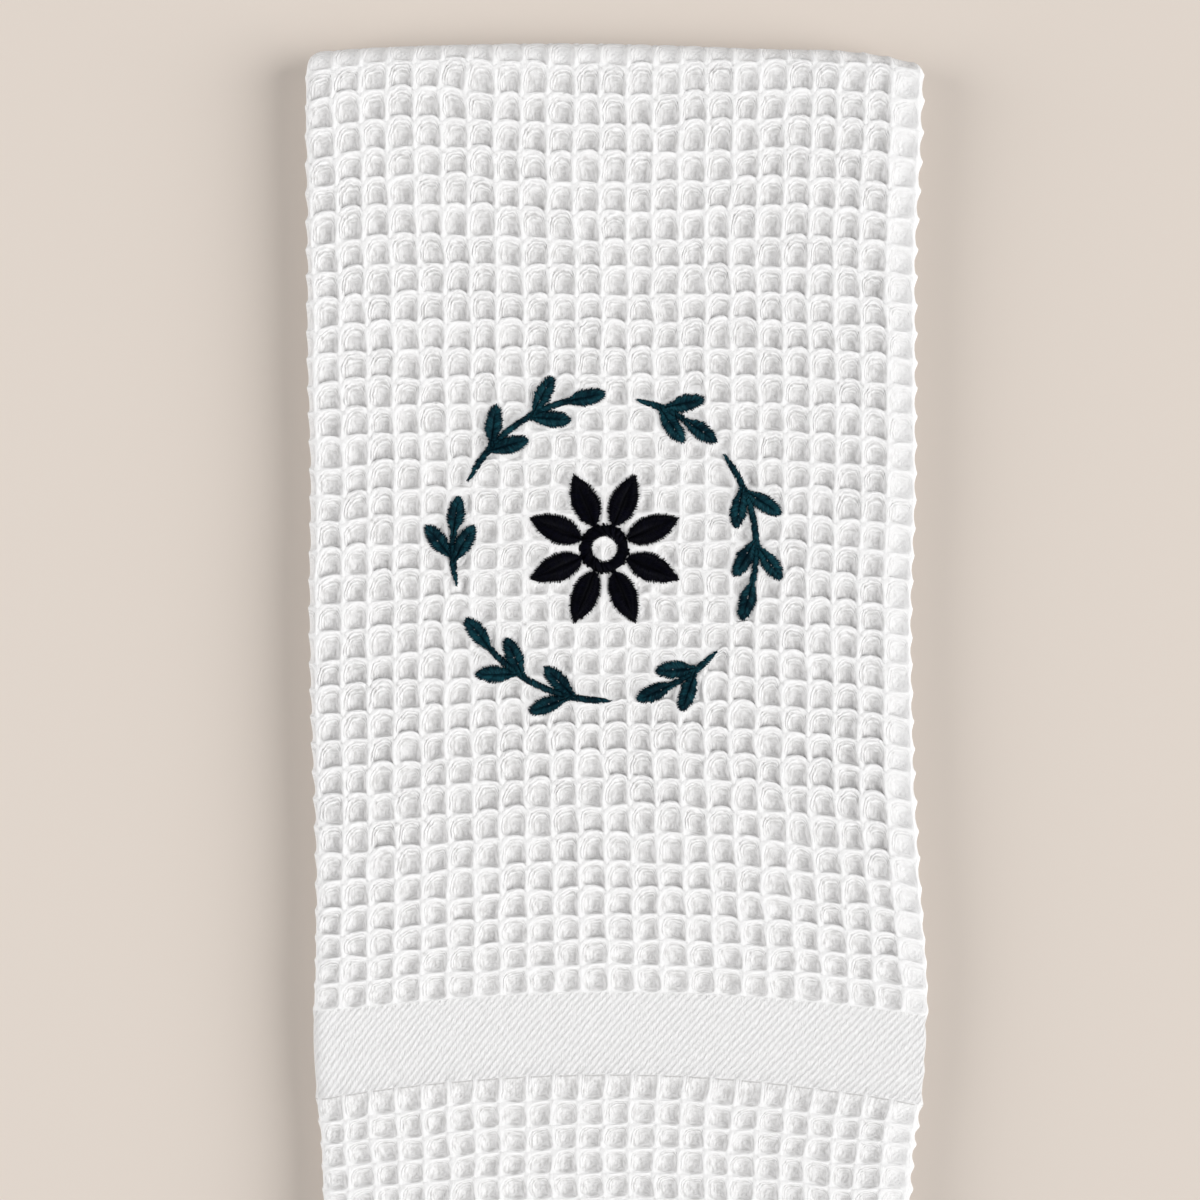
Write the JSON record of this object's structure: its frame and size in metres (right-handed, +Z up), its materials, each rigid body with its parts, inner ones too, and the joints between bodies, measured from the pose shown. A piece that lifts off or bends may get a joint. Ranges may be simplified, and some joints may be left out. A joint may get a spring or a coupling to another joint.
{
  "type": "kitchen towel",
  "caption": "Waffle-weave cotton kitchen towel folded in thirds and then once across, with a flat woven band and an embroidered leaf wreath round a plain flower.",
  "frame": {"origin": "bottom centre of the folded towel's bounding box, on the surface it lies on", "axes": "+X across the towel, +Y towards the crosswise fold, +Z up out of the embroidered face"},
  "size_m": [0.155, 0.3616, 0.0155],
  "materials": {
    "cotton_waffle": "matte woven cotton with a waffle relief",
    "leaf_thread": "satin stitch in dark teal embroidery thread",
    "flower_thread": "satin stitch in near-black navy embroidery thread"
  },
  "bodies": {
    "root": {"towel": "cotton_waffle", "sprig_1": "leaf_thread", "sprig_2": "leaf_thread", "sprig_3": "leaf_thread", "sprig_4": "leaf_thread", "sprig_5": "leaf_thread", "sprig_6": "leaf_thread", "flower": "flower_thread"}
  },
  "joints": []
}
